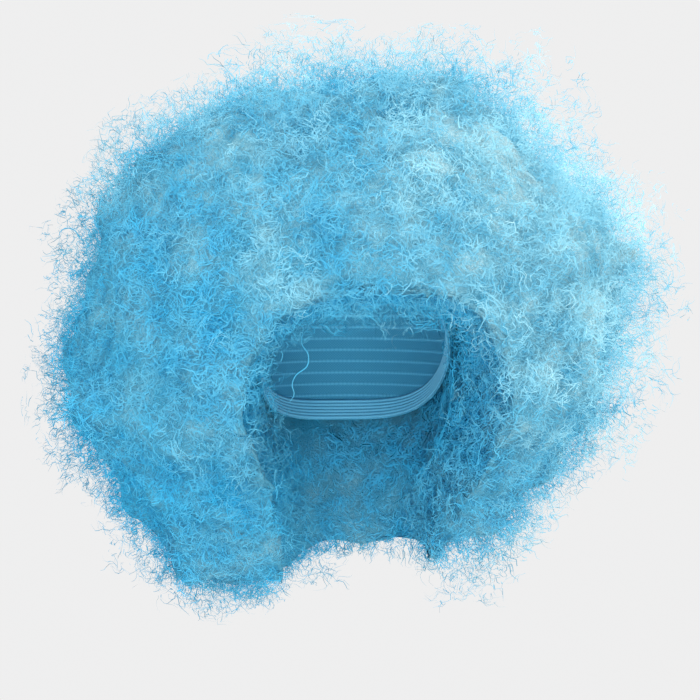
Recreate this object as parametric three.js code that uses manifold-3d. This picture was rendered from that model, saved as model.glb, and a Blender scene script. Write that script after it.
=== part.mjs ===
// A large curly afro wig: a stretch-net cap with an elastic hem, and the teased-out hair sewn to it.
// Units are millimetres, with +Z up and the face opening towards -Y.
// The origin is the inside of the cap at the crown, where the top of the head bears.
import * as THREE from "three";
import { mergeVertices } from "three/addons/utils/BufferGeometryUtils.js";
import Module from "manifold-3d";

const wasm = await Module();
wasm.setup();

// The head that the cap fits, as the inside of the cap
const HEAD_WIDTH = 152;
const HEAD_LENGTH = 190;
const HEAD_CROWN = 108; // crown down to the widest level of the head
const HEAD_BASE = 118; // widest level down to the underside of the skull
const NECK_WIDTH = 112; // room that the hair leaves round the neck
const NECK_LENGTH = 126;
const NECK_BACK = 14; // how far the neck's axis lies behind the head's

// The cap and its hem
const CAP_WALL = 1.5;
const CAP_FRONT_DROP = 47; // crown down to the hairline
const CAP_BACK_DROP = 158; // crown down to the nape
const BAND_WIDTH = 16;
const BAND_WALL = 1.2;
const SEAM_GAP = 0.3; // between pieces that are sewn together

// The ball of hair, from tip to tip
const HAIR_WIDTH = 500;
const HAIR_DEPTH = 450;
const HAIR_HEIGHT = 470;
const HAIR_ABOVE_CROWN = 160;
const HAIR_BACK = 20; // how far the ball's centre lies behind the head's

// The locks that make the ball's outside
const LOCK_COUNT = 126;
const LOCK_RADIUS = 39;
const LOCK_LENGTH = 70; // how far a lock stands out of the hair behind it, and into it
const LOCK_SPREAD = 0.26; // share by which the locks differ in size
const LOCK_LEAN = 0.35; // sideways lean of a lock's axis for one along it
const LOCK_DROOP = 0.1; // the same, for the lean under its own weight
const LOCK_CURL = 0.3; // sideways bend of a lock's outer half, as a share of its length
const BACKING_SHARE = 0.9; // reach of the hair behind the locks, of the tips' reach

// The face opening, an arch that widens forwards
const FACE_WIDTH = 154;
const FACE_TOP_DROP = 70; // crown down to the lower edge of the fringe
const FACE_CORNER = 46; // radius of the arch's shoulders
const FACE_JAW_DROP = 205; // crown down to where the opening narrows to the neck
const FACE_FLARE = 1.32; // width at the front of the hair, of the width at the ears
const FACE_LIFT = 1.3; // the same for the arch's height above the widest level of the head
const FACE_OVERHANG = 8; // how far the locks round the opening hang over its edge
const FACE_SCALLOP = 6; // depth of the waves that the hair makes along the opening
const FACE_WAVE = 43; // length of half a wave

// Where the sections of hair part
const SECTION_GAP = 0.6;
const CROWN_ANGLE = 44; // degrees from straight up to the edge of the crown section
const FRINGE_ANGLE = 33; // degrees from straight ahead to each side of the fringe
const BACK_ANGLE = 48; // degrees from straight back to each side of the back section
const FRINGE_DROP = 78; // crown down to where the fringe ends beside the face
const NAPE_DROP = 166; // crown down to the top of the nape section

// Fineness of the surfaces
const RIM_SEGMENTS = 12;
const BALL_DETAIL = 4;
const LOCK_SIDES = 6;
const HEAD_SIDES = 24;
const HEAD_RINGS = 14;
const CONE_SIDES = 24;
const FACE_POINTS = 12;
const FACE_STEPS = 9;

// Reach of the hair by elevation above the ball's centre, as shares of the ball's half size that way.
// Left and right are as seen from the front
const BALL_SECTIONS = [
  { elevation: -90, left: 1.0, right: 0.88, front: 0.88, back: 0.96 },
  { elevation: -66, left: 1.12, right: 0.97, front: 0.9, back: 1.0 },
  { elevation: -50, left: 1.13, right: 0.96, front: 0.92, back: 1.0 },
  { elevation: -36, left: 1.04, right: 0.93, front: 0.96, back: 0.98 },
  { elevation: -20, left: 1.1, right: 1.0, front: 1.0, back: 0.98 },
  { elevation: 0, left: 1.0, right: 0.98, front: 1.0, back: 1.0 },
  { elevation: 17, left: 0.98, right: 1.09, front: 1.0, back: 1.01 },
  { elevation: 33, left: 1.0, right: 0.97, front: 0.98, back: 1.0 },
  { elevation: 50, left: 0.99, right: 1.0, front: 0.96, back: 0.98 },
  { elevation: 68, left: 1.0, right: 1.05, front: 0.93, back: 0.96 },
  { elevation: 90, left: 0.92, right: 0.92, front: 0.92, back: 0.92 },
];

// A lock's outline from its root to its tip, as shares of its length and radius
const LOCK_PROFILE = [
  { along: -0.5, radius: 0 },
  { along: -0.05, radius: 1 },
  { along: 0.36, radius: 0.6 },
  { along: 0.5, radius: 0 },
];

const HAIR_BLUE = 0x5db5d8;
const NET_BLUE = 0x2f7fa8;
const HEM_BLUE = 0x3a8fb8;

const headCentre = new THREE.Vector3(0, 0, -HEAD_CROWN);
const ballCentre = new THREE.Vector3(0, HAIR_BACK, HAIR_ABOVE_CROWN - HAIR_HEIGHT / 2);
const ballHalf = new THREE.Vector3(HAIR_WIDTH, HAIR_DEPTH, HAIR_HEIGHT).multiplyScalar(0.5);
const hairBottomDrop = HAIR_HEIGHT - HAIR_ABOVE_CROWN;
const wellClear = HAIR_WIDTH + HAIR_DEPTH + HAIR_HEIGHT; // cutters reach past the ball by this
const radians = THREE.MathUtils.degToRad;

// A closed three.js geometry as a manifold solid
function solidFrom(geometry) {
  const bare = geometry.clone();
  bare.deleteAttribute("normal");
  bare.deleteAttribute("uv");
  const merged = mergeVertices(bare, 1e-3);
  return new wasm.Manifold(
    new wasm.Mesh({
      numProp: 3,
      vertProperties: new Float32Array(merged.attributes.position.array),
      triVerts: new Uint32Array(merged.index.array),
    }),
  );
}

// The largest body of a solid as a three.js geometry: a cut across locks can leave crumbs
function geometryFrom(solid) {
  const bodies = solid.decompose().sort((a, b) => b.volume() - a.volume());
  const mesh = bodies[0].getMesh();
  const geometry = new THREE.BufferGeometry();
  geometry.setAttribute("position", new THREE.BufferAttribute(mesh.vertProperties, 3));
  geometry.setIndex(new THREE.BufferAttribute(mesh.triVerts, 1));
  geometry.computeVertexNormals();
  return geometry;
}

// A number from 0 to 1 that looks random but is the same each time, for copy i and purpose k
function scatter(i, k) {
  const wave = Math.sin(i * 12.9898 + k * 78.233) * 43758.5453;
  return wave - Math.floor(wave);
}

// A row of BALL_SECTIONS between rows, for an elevation in degrees
function sectionAt(elevation) {
  const above = Math.max(1, BALL_SECTIONS.findIndex((row) => row.elevation >= elevation));
  const low = BALL_SECTIONS[above - 1];
  const high = BALL_SECTIONS[above];
  const share = THREE.MathUtils.smoothstep(elevation, low.elevation, high.elevation);
  const between = (column) => THREE.MathUtils.lerp(low[column], high[column], share);
  return { left: between("left"), right: between("right"), front: between("front"), back: between("back") };
}

// The point where the hair ends in a direction from the ball's centre, times a share
function ballPoint(direction, share) {
  const level = Math.hypot(direction.x, direction.y);
  const section = sectionAt(THREE.MathUtils.radToDeg(Math.atan2(direction.z, level)));
  const across = level > 0 ? (direction.x / level) ** 2 : 0.5;
  const sideways = direction.x < 0 ? section.left : section.right;
  const lengthways = direction.y < 0 ? section.front : section.back;
  const reach = share * (across * sideways + (1 - across) * lengthways);
  return direction.clone().multiply(ballHalf).multiplyScalar(reach).add(ballCentre);
}

// Evenly spread directions, along a spiral that turns by the golden angle
function spiralDirections(count) {
  const goldenAngle = Math.PI * (3 - Math.sqrt(5));
  return Array.from({ length: count }, (_, i) => {
    const z = 1 - (2 * i + 1) / count;
    const level = Math.sqrt(1 - z * z);
    return new THREE.Vector3(Math.cos(i * goldenAngle) * level, Math.sin(i * goldenAngle) * level, z);
  });
}

// The hair behind the locks: a ball of directions carried out to a share of the tips' reach
function backingSolid() {
  const ball = new THREE.IcosahedronGeometry(1, BALL_DETAIL);
  const position = ball.attributes.position;
  for (let i = 0; i < position.count; i += 1) {
    const direction = new THREE.Vector3().fromBufferAttribute(position, i).normalize();
    const point = ballPoint(direction, BACKING_SHARE);
    position.setXYZ(i, point.x, point.y, point.z);
  }
  return solidFrom(ball);
}

// One lock, a tapered tuft whose tip reaches the outside of the ball
function lockSolid(direction, i) {
  const size = 1 + LOCK_SPREAD * (2 * scatter(i, 1) - 1);
  const profile = LOCK_PROFILE.map(
    (row) => new THREE.Vector2(row.radius * LOCK_RADIUS * size, (row.along - 0.5) * LOCK_LENGTH * size),
  );
  const lean = new THREE.Vector3(scatter(i, 2) - 0.5, scatter(i, 3) - 0.5, scatter(i, 4) - 0.5);
  const axis = direction.clone().addScaledVector(lean, LOCK_LEAN);
  axis.z -= LOCK_DROOP;
  const lock = new THREE.LatheGeometry(profile, LOCK_SIDES);
  const position = lock.attributes.position;
  for (let v = 0; v < position.count; v += 1) {
    const outer = Math.max(0, position.getY(v) / (LOCK_LENGTH * size) + 0.5);
    position.setX(v, position.getX(v) + LOCK_CURL * LOCK_LENGTH * outer * outer);
  }
  lock.rotateY(2 * Math.PI * scatter(i, 5));
  lock.applyQuaternion(
    new THREE.Quaternion().setFromUnitVectors(new THREE.Vector3(0, 1, 0), axis.normalize()),
  );
  const tip = ballPoint(direction, 1 - (LOCK_SPREAD / 4) * scatter(i, 6));
  lock.translate(tip.x, tip.y, tip.z);
  return solidFrom(lock);
}

// Whether a point lies in the face opening
function isInFace(point) {
  const growth = faceGrowth(-point.y);
  const above = point.z - headCentre.z;
  const drop = HEAD_CROWN - (above > 0 ? above / (1 + (FACE_LIFT - 1) * growth) : above);
  const halfWidth = (1 + (FACE_FLARE - 1) * growth) * faceHalfWidth(drop);
  return point.y < 0 && drop > FACE_TOP_DROP && Math.abs(point.x) < halfWidth;
}

// The backing with all its locks fused to it and the face open, as if there were no head in it
function ballSolid() {
  let ball = backingSolid().subtract(faceSolid(0));
  spiralDirections(LOCK_COUNT).forEach((direction, i) => {
    if (!isInFace(ballPoint(direction, BACKING_SHARE))) {
      ball = ball.add(lockSolid(direction, i));
    }
  });
  return ball.subtract(faceSolid(FACE_OVERHANG));
}

// The head form, larger than the inside of the cap by an offset. Its facets stay parallel as it grows
function skullSolid(offset) {
  const skull = new THREE.SphereGeometry(1, HEAD_SIDES, HEAD_RINGS);
  skull.rotateX(Math.PI / 2);
  const position = skull.attributes.position;
  for (let i = 0; i < position.count; i += 1) {
    const height = position.getZ(i) > 0 ? HEAD_CROWN : HEAD_BASE;
    position.setXYZ(
      i,
      position.getX(i) * (HEAD_WIDTH / 2 + offset),
      position.getY(i) * (HEAD_LENGTH / 2 + offset),
      position.getZ(i) * (height + offset),
    );
  }
  skull.translate(headCentre.x, headCentre.y, headCentre.z);
  return solidFrom(skull);
}

// The room for the neck, from the middle of the head down
function neckSolid() {
  const neck = new THREE.CylinderGeometry(1, 1, wellClear, HEAD_SIDES);
  neck.rotateX(Math.PI / 2);
  neck.scale(NECK_WIDTH / 2, NECK_LENGTH / 2, 1);
  neck.translate(headCentre.x, headCentre.y + NECK_BACK, headCentre.z - wellClear / 2);
  return solidFrom(neck);
}

// Half of the face opening's width at a drop below the crown: round shoulders, straight, then the jaw
function faceHalfWidth(drop) {
  const half = FACE_WIDTH / 2;
  const shoulder = THREE.MathUtils.clamp((drop - FACE_TOP_DROP) / FACE_CORNER, 0, 1);
  const round = half - FACE_CORNER * (1 - Math.sqrt(1 - (1 - shoulder) ** 2));
  const jawTop = FACE_JAW_DROP - FACE_CORNER;
  const jaw = THREE.MathUtils.smoothstep(drop, jawTop, FACE_JAW_DROP + FACE_CORNER / 2);
  return THREE.MathUtils.lerp(round, NECK_WIDTH / 2, jaw);
}

// How far the face opening has grown at a distance ahead of the head's axis: 0 there, 1 at the front
function faceGrowth(ahead) {
  return THREE.MathUtils.clamp(ahead / (HAIR_DEPTH / 2), 0, 1);
}

// The face opening seen from the front, as points down its right side from the middle of the fringe
function faceSide() {
  const side = [];
  for (let i = 0; i <= FACE_POINTS; i += 1) {
    const share = i / FACE_POINTS;
    const drop = FACE_TOP_DROP + (hairBottomDrop - FACE_TOP_DROP) * share ** 1.5;
    side.push(new THREE.Vector2(faceHalfWidth(drop), -drop));
  }
  side.push(new THREE.Vector2(side[side.length - 1].x, -hairBottomDrop - HAIR_HEIGHT));
  return side;
}

// The face opening: its outline carried forwards from the head's axis. It grows as it goes, and its
// walls swell and sink with the hair. The overhang narrows it all round
function faceSolid(overhang) {
  const side = faceSide();
  const mirrored = side.map((point) => new THREE.Vector2(-point.x, point.y)).reverse();
  const opening = new THREE.ExtrudeGeometry(new THREE.Shape([...mirrored, ...side]), {
    depth: 0.6 * HAIR_DEPTH,
    steps: FACE_STEPS,
    bevelEnabled: false,
  });
  opening.rotateX(Math.PI / 2);
  const position = opening.attributes.position;
  for (let i = 0; i < position.count; i += 1) {
    const ahead = -position.getY(i);
    const growth = faceGrowth(ahead);
    const above = position.getZ(i) - headCentre.z;
    const upWave = Math.sin((position.getZ(i) / FACE_WAVE) * Math.PI);
    const wave = upWave * Math.cos((ahead / FACE_WAVE) * Math.PI);
    const narrow = (overhang + FACE_SCALLOP * wave) / (FACE_WIDTH / 2);
    const lift = above > 0 ? 1 + (FACE_LIFT - 1) * growth - narrow / 2 : 1;
    position.setX(i, position.getX(i) * (1 + (FACE_FLARE - 1) * growth - narrow));
    position.setZ(i, headCentre.z + above * lift);
  }
  return solidFrom(opening);
}

// A wedge between two directions seen from above, in degrees from straight ahead, moved by an offset
function wedgeSolid(middle, halfAngle, offset) {
  const reach = wellClear;
  const side = Math.tan(radians(halfAngle)) * reach;
  const shape = new THREE.Shape([
    new THREE.Vector2(0, 0),
    new THREE.Vector2(side, -reach),
    new THREE.Vector2(-side, -reach),
  ]);
  const wedge = new THREE.ExtrudeGeometry(shape, { depth: 2 * reach, bevelEnabled: false });
  wedge.translate(0, -offset / Math.sin(radians(halfAngle)), -reach);
  wedge.rotateZ(radians(middle));
  wedge.translate(ballCentre.x, ballCentre.y, ballCentre.z);
  return solidFrom(wedge);
}

// A cone that opens upwards from the ball's centre, moved up by an offset
function crownCone(offset) {
  const radius = Math.tan(radians(CROWN_ANGLE)) * wellClear;
  const cone = new THREE.ConeGeometry(radius, wellClear, CONE_SIDES);
  cone.rotateX(-Math.PI / 2);
  cone.translate(0, 0, wellClear / 2 + offset / Math.sin(radians(CROWN_ANGLE)));
  cone.translate(ballCentre.x, ballCentre.y, ballCentre.z);
  return solidFrom(cone);
}

// Everything above a drop below the crown, to one side of the middle or on both
function slabSolid(drop, side = 0) {
  const slab = new THREE.BoxGeometry(2 * wellClear, 2 * wellClear, wellClear);
  slab.translate(side * wellClear, 0, wellClear / 2 - drop);
  return solidFrom(slab);
}

// The hair in its sections, each one kept half a gap clear of its neighbours
function hairSections() {
  const half = SECTION_GAP / 2;
  const hair = ballSolid()
    .subtract(skullSolid(CAP_WALL + SEAM_GAP))
    .subtract(neckSolid());
  const belowCrown = hair.subtract(crownCone(-half));
  const fringeWedge = (offset) => {
    const wedge = wedgeSolid(0, FRINGE_ANGLE, offset);
    return wedge.intersect(slabSolid(FRINGE_DROP - offset));
  };
  const backWedge = (offset) => wedgeSolid(180, BACK_ANGLE, offset);
  const sides = belowCrown.subtract(fringeWedge(-half)).subtract(backWedge(-half));
  const behind = belowCrown.intersect(backWedge(half));
  const wholeHeight = hairBottomDrop + HAIR_HEIGHT;
  return {
    hair_crown: hair.intersect(crownCone(half)),
    hair_fringe: belowCrown.intersect(fringeWedge(half)),
    hair_left: sides.intersect(slabSolid(wholeHeight, -1)),
    hair_right: sides.intersect(slabSolid(wholeHeight, 1)),
    hair_back: behind.intersect(slabSolid(NAPE_DROP - half)),
    hair_nape: behind.subtract(slabSolid(NAPE_DROP + half)),
  };
}

// Everything below the cap's rim, or below a line that is higher by a raise: seen from the side the
// rim runs level round the forehead, falls over the ear and ends level at the nape
function belowRim(raise = 0) {
  const front = -HEAD_LENGTH / 2;
  const back = HEAD_LENGTH / 2;
  const rim = new THREE.Shape();
  rim.moveTo(-wellClear, -wellClear);
  rim.lineTo(-wellClear, raise - CAP_FRONT_DROP);
  rim.lineTo(front, raise - CAP_FRONT_DROP);
  rim.bezierCurveTo(
    front / 4, raise - CAP_FRONT_DROP,
    back / 8, raise - CAP_BACK_DROP,
    back, raise - CAP_BACK_DROP,
  );
  rim.lineTo(wellClear, raise - CAP_BACK_DROP);
  rim.lineTo(wellClear, -wellClear);
  const cut = new THREE.ExtrudeGeometry(rim, {
    depth: 2 * wellClear,
    bevelEnabled: false,
    curveSegments: RIM_SEGMENTS,
  });
  cut.translate(0, 0, -wellClear);
  cut.rotateX(Math.PI / 2);
  cut.rotateZ(Math.PI / 2);
  return solidFrom(cut);
}

// The cap: a wall round the head form, cut off at the rim
function capSolid() {
  return skullSolid(CAP_WALL).subtract(skullSolid(0)).subtract(belowRim());
}

// The elastic hem: a strip inside the cap, along its rim
function bandSolid() {
  return skullSolid(-SEAM_GAP)
    .subtract(skullSolid(-SEAM_GAP - BAND_WALL))
    .subtract(belowRim())
    .intersect(belowRim(BAND_WIDTH));
}

const wigMaterial = (color, roughness) => {
  return new THREE.MeshStandardMaterial({ color, roughness, metalness: 0 });
};

const wig = new THREE.Group();
const addPiece = (name, geometry, material) => {
  const mesh = new THREE.Mesh(geometry, material);
  mesh.name = name;
  wig.add(mesh);
};

addPiece("wig_cap", geometryFrom(capSolid()), wigMaterial(NET_BLUE, 0.9));
addPiece("cap_band", geometryFrom(bandSolid()), wigMaterial(HEM_BLUE, 0.7));
for (const [name, solid] of Object.entries(hairSections())) {
  addPiece(name, geometryFrom(solid), wigMaterial(HAIR_BLUE, 0.85));
}

export default wig;
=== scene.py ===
"""A large curly afro wig: teased blue fibre on a stretch-net cap, held up as a head holds it.

Everything is in metres, with +Z up and the face opening towards -Y. The origin is the inside of the
cap at the crown. Run as a script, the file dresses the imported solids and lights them.
"""

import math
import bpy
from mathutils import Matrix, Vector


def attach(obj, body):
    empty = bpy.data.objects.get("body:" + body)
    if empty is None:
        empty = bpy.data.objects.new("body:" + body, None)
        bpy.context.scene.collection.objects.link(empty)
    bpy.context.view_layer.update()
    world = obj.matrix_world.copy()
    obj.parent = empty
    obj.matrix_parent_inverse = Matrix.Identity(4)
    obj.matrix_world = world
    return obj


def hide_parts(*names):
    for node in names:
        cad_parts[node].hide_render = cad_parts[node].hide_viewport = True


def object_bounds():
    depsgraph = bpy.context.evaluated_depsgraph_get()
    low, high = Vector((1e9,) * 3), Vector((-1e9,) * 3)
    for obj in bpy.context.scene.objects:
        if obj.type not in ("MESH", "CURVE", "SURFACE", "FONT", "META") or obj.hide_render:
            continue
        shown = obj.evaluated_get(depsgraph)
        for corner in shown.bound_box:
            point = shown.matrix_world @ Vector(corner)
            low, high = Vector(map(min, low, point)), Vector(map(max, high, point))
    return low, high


bl_info = {
    "name": "Afro Wig",
    "version": (1, 0, 0),
    "blender": (4, 5, 0),
    "location": "3D View > Sidebar > Wig",
    "description": "Dresses the solids of a curly afro wig in fibre, net and elastic",
    "category": "Add Mesh",
}

from collections import namedtuple

import bmesh
import bpy
import numpy as np
from bpy.props import FloatProperty, FloatVectorProperty, IntProperty, PointerProperty
from bpy.types import Operator, Panel, PropertyGroup
from mathutils import Vector

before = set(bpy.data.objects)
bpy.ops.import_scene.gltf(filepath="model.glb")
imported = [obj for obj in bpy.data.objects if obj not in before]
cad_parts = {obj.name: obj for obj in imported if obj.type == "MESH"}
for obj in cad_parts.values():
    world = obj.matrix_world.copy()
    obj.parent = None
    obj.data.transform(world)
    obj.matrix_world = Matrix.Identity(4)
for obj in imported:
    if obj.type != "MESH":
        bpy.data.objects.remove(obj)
CAD_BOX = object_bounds()

# The sections of hair, and the angles in degrees and levels where they part, as in the solids
SECTIONS = ("crown", "fringe", "left", "right", "back", "nape")
CROWN, FRINGE, LEFT, RIGHT, BACK, NAPE = range(len(SECTIONS))
CROWN_ANGLE = 44
FRINGE_ANGLE = 33
BACK_ANGLE = 48
FRINGE_LEVEL = -0.078
NAPE_LEVEL = -0.166

# The ball of hair, the head form and the neck, as in the solids
BALL_CENTRE = np.array([0.0, 0.020, -0.075])
BALL_HALF = np.array([0.250, 0.225, 0.235])
BALL_RADIUS = 0.235
HEAD_CENTRE = np.array([0.0, 0.0, -0.108])
HEAD_HALF = np.array([0.076, 0.095, 0.108])
HEAD_BASE = 0.118
NECK_HALF = np.array([0.056, 0.063])
NECK_BACK = 0.014
CAP_FRONT_LEVEL = -0.047
CAP_BACK_LEVEL = -0.158

# Beside the head and neck fibres are short and lie down. They reach their full length and slope
# between these two distances.
NO_ROOM = 0.003
FULL_ROOM = 0.019

# The way in which the hair grows looser, and by how much at the ball's surface. Along the same way
# the hair is painted paler: painted light from the key lamp at the upper right.
LOOSE_AND_LIT_WAY = np.array([0.77, 0, 0.64])
LOOSE_AND_LIT_GAIN = 0.48

# Painted light and shade on a fibre: how much paler it is painted for how loose the hair is over a
# base, which stands for the key light falling on the upper right, again for the very loose, where
# that painted light is strongest, for each rise of one unit over its root, as painted light on the
# outer fibres, and how much deeper it is painted, as shade, where no light gets in
PAINTED_LIGHT_BASE = 0.70
PAINTED_LIGHT_GAIN = 1.5
PAINTED_GLARE_LEVEL = 1.3
PAINTED_GLARE_GAIN = 2.5
RISE_LIGHT_GAIN = 0.26
RISE_UNIT = 0.030
DEEP_GAIN = 0.6

# How a fibre's normal leans deep in the face opening, where light comes from the front and below
LIT_WAY = np.array([-0.5, -2.2, -0.4])

# One layer of fibres: how many wisps, the fibres of a wisp, and the points of a fibre. Width,
# length, curl and pitch are shares of the hair's own. A wisp starts at most height above the dense
# hair, more on tufts, and runs at the slope to it, in degrees, give or take its spread. stray is
# how far wisps differ from their neighbours in direction, spread how far a wisp's fibres start
# apart, split how they part, bend how they bow, and turned how far their faces are turned.
Layer = namedtuple(
    "Layer",
    "name seed wisps fibres steps width length curl pitch height slope slope_spread"
    " stray spread split bend turned",
)
UNDERCOAT = Layer(
    "undercoat", 1, 10400, 3, 5, 1.7, 0.9, 1.0, 1.0, 0.020, 4, 16, 1.2, 0.0040, 0.25, 0.003, 0.6
)
OVERCOAT = Layer(
    "overcoat", 2, 19200, 3, 6, 0.95, 0.95, 1.0, 0.9, 0.045, 8, 30, 1.3, 0.0046, 0.35, 0.004, 0.9
)
FLYAWAYS = Layer(
    "flyaways", 3, 1400, 1, 18, 0.8, 1.5, 0.9, 0.7, 0.044, 16, 30, 1.2, 0.0, 0.0, 0.008, 0.9
)

# Where the hair stands out further in a looser lobe: the bearing from straight ahead, positive to
# the right as seen from the front, the elevation and the half angle, in degrees, and the extra
# height as a share of the layer's
Lobe = namedtuple("Lobe", "bearing elevation half height")
LOBES = (
    Lobe(-98, 78, 13, 0.90),
    Lobe(-98, 42, 14, 0.45),
    Lobe(-98, 22, 10, 0.40),
    Lobe(-98, -20, 11, 1.00),
    Lobe(-98, -58, 18, 0.45),
    Lobe(82, 55, 16, 0.45),
    Lobe(82, 10, 12, 0.35),
    Lobe(82, -22, 12, 0.50),
    Lobe(78, -64, 12, 0.80),
    Lobe(170, 30, 16, 0.35),
    Lobe(150, -35, 14, 0.35),
)

# Stray curls, as the points that each runs through
STRAY_RADIUS = 0.00045
STRAYS = (
    (
        (-0.0513, -0.1243, -0.0675),
        (-0.0574, -0.1315, -0.078),
        (-0.0584, -0.1334, -0.0877),
        (-0.0541, -0.135, -0.0951),
        (-0.0547, -0.1339, -0.1041),
        (-0.0627, -0.1317, -0.1108),
        (-0.0658, -0.1323, -0.1182),
        (-0.0643, -0.1325, -0.1249),
        (-0.0681, -0.133, -0.1316),
    ),
    (
        (-0.2056, 0.0186, -0.0144),
        (-0.2132, 0.0298, -0.01),
        (-0.2178, 0.0355, -0.0075),
        (-0.2209, 0.0409, -0.0017),
        (-0.2265, 0.0417, 0.0008),
        (-0.232, 0.0425, -0.0009),
        (-0.2344, 0.0428, -0.0057),
    ),
)


# Noise and distances


def lattice_noise(points, size, seed):
    """Smooth noise from -1 to 1. Each corner of a lattice with that spacing gets a scattered value
    from a sine of its place, and a point gets the eight corners' values, blended smoothly."""
    scaled = points / size + 17.3 * seed
    corner = np.floor(scaled)
    share = scaled - corner
    share = share * share * (3 - 2 * share)
    total = np.zeros(len(points))
    for dx in (0, 1):
        for dy in (0, 1):
            for dz in (0, 1):
                place = corner + (dx, dy, dz)
                wave = np.sin(place @ np.array([127.1, 311.7, 74.7]) + 13.7 * seed) * 43758.5453
                weight = np.ones(len(points))
                for axis, side in enumerate((dx, dy, dz)):
                    weight *= share[:, axis] if side else 1 - share[:, axis]
                total += weight * (2 * (wave - np.floor(wave)) - 1)
    return total


def vector_noise(points, size, seed):
    """Three fields of lattice noise as one field of vectors."""
    return np.stack([lattice_noise(points, size, seed + k) for k in (1, 2, 3)], axis=1)


def unit(vectors):
    """Vectors scaled to a length of 1."""
    length = np.linalg.norm(vectors, axis=-1, keepdims=True)
    return vectors / np.maximum(length, 1e-9)


def clear_of_head(points, margin):
    """Points moved straight away from the head's centre until they are outside the head form by a
    margin, and below its middle away from the neck's axis until they are outside the neck."""
    out = points.copy()
    from_centre = out - HEAD_CENTRE
    half = np.tile(HEAD_HALF, (len(out), 1))
    half[from_centre[:, 2] < 0, 2] = HEAD_BASE
    reach = np.linalg.norm(from_centre / (half + margin), axis=1)
    inside = (reach < 1) & (reach > 1e-6)
    out[inside] = HEAD_CENTRE + from_centre[inside] / reach[inside, None]
    axis = np.array([0.0, NECK_BACK])
    beside = out[:, :2] - axis
    neck = np.linalg.norm(beside / (NECK_HALF + margin), axis=1)
    near = (neck < 1) & (neck > 1e-6) & (out[:, 2] < HEAD_CENTRE[2]) & (beside[:, 1] > -0.02)
    out[near, :2] = axis + beside[near] / neck[near, None]
    return out


# Meshes


def new_object(name, mesh, material):
    """A mesh as an object at the origin, in the scene, with one material."""
    mesh.materials.clear()
    mesh.materials.append(material)
    piece = bpy.data.objects.new(name, mesh)
    bpy.context.scene.collection.objects.link(piece)
    return piece


def vertex_array(mesh):
    """A mesh's vertices as an array of points."""
    points = np.empty(len(mesh.vertices) * 3, np.float32)
    mesh.vertices.foreach_get("co", points)
    return points.reshape(-1, 3).astype(float)


def edge_array(mesh):
    """A mesh's edges as pairs of vertex numbers."""
    edges = np.empty(len(mesh.edges) * 2, np.int32)
    mesh.edges.foreach_get("vertices", edges)
    return edges.reshape(-1, 2)


def normal_array(mesh):
    """A mesh's vertex normals as an array of unit vectors."""
    normals = np.empty(len(mesh.vertices) * 3, np.float32)
    mesh.vertex_normals.foreach_get("vector", normals)
    return normals.reshape(-1, 3).astype(float)


def triangle_array(mesh):
    """A mesh's faces as triangles of vertex numbers."""
    mesh.calc_loop_triangles()
    corners = np.empty(len(mesh.loop_triangles) * 3, np.int32)
    mesh.loop_triangles.foreach_get("vertices", corners)
    return corners.reshape(-1, 3)


def shade_smooth(mesh):
    """Shades all faces of a mesh smooth."""
    mesh.polygons.foreach_set("use_smooth", np.ones(len(mesh.polygons), bool))
    mesh.update()


def add_uv(mesh, name, values):
    """A UV map from a pair of numbers for each corner of the mesh's faces."""
    uv = mesh.uv_layers.new(name=name)
    uv.data.foreach_set("uv", values.astype(np.float32).ravel())


def smoothed(points, edges, rounds, share=0.5):
    """Each round moves every point part of the way to the mean of its neighbours."""
    count = np.bincount(edges.ravel(), minlength=len(points))[:, None]
    for _ in range(rounds):
        total = np.zeros_like(points)
        for axis in range(3):
            total[:, axis] = np.bincount(edges[:, 0], points[edges[:, 1], axis], len(points))
            total[:, axis] += np.bincount(edges[:, 1], points[edges[:, 0], axis], len(points))
        points = points + share * (total / np.maximum(count, 1) - points)
    return points


def strip_mesh(name, centres, sides, pale, shade):
    """Flat strips carried along paths. A strip's two edges are its path's points plus and minus a
    half width sideways. centres and sides are (strips, steps, 3). The UV map holds how pale each
    point of the path is, from -1 to 1, which is painted light and shade, and one shade for the
    whole strip."""
    strips, steps, _ = centres.shape
    rows = np.stack([centres - sides, centres + sides], axis=2).reshape(-1, 3)
    first = (np.arange(strips)[:, None] * steps + np.arange(steps - 1)[None, :]).ravel() * 2
    quads = np.stack([first, first + 1, first + 3, first + 2], axis=1)
    mesh = bpy.data.meshes.new(name)
    mesh.vertices.add(len(rows))
    mesh.vertices.foreach_set("co", rows.astype(np.float32).ravel())
    mesh.loops.add(quads.size)
    mesh.loops.foreach_set("vertex_index", quads.astype(np.int32).ravel())
    mesh.polygons.add(len(quads))
    mesh.polygons.foreach_set("loop_start", np.arange(0, quads.size, 4, dtype=np.int32))
    mesh.update(calc_edges=True)
    values = np.stack([np.repeat(pale, 2, axis=1).ravel(), np.repeat(shade, steps * 2)], axis=1)
    add_uv(mesh, "fibre", values[quads.ravel()])
    shade_smooth(mesh)
    return mesh


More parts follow.
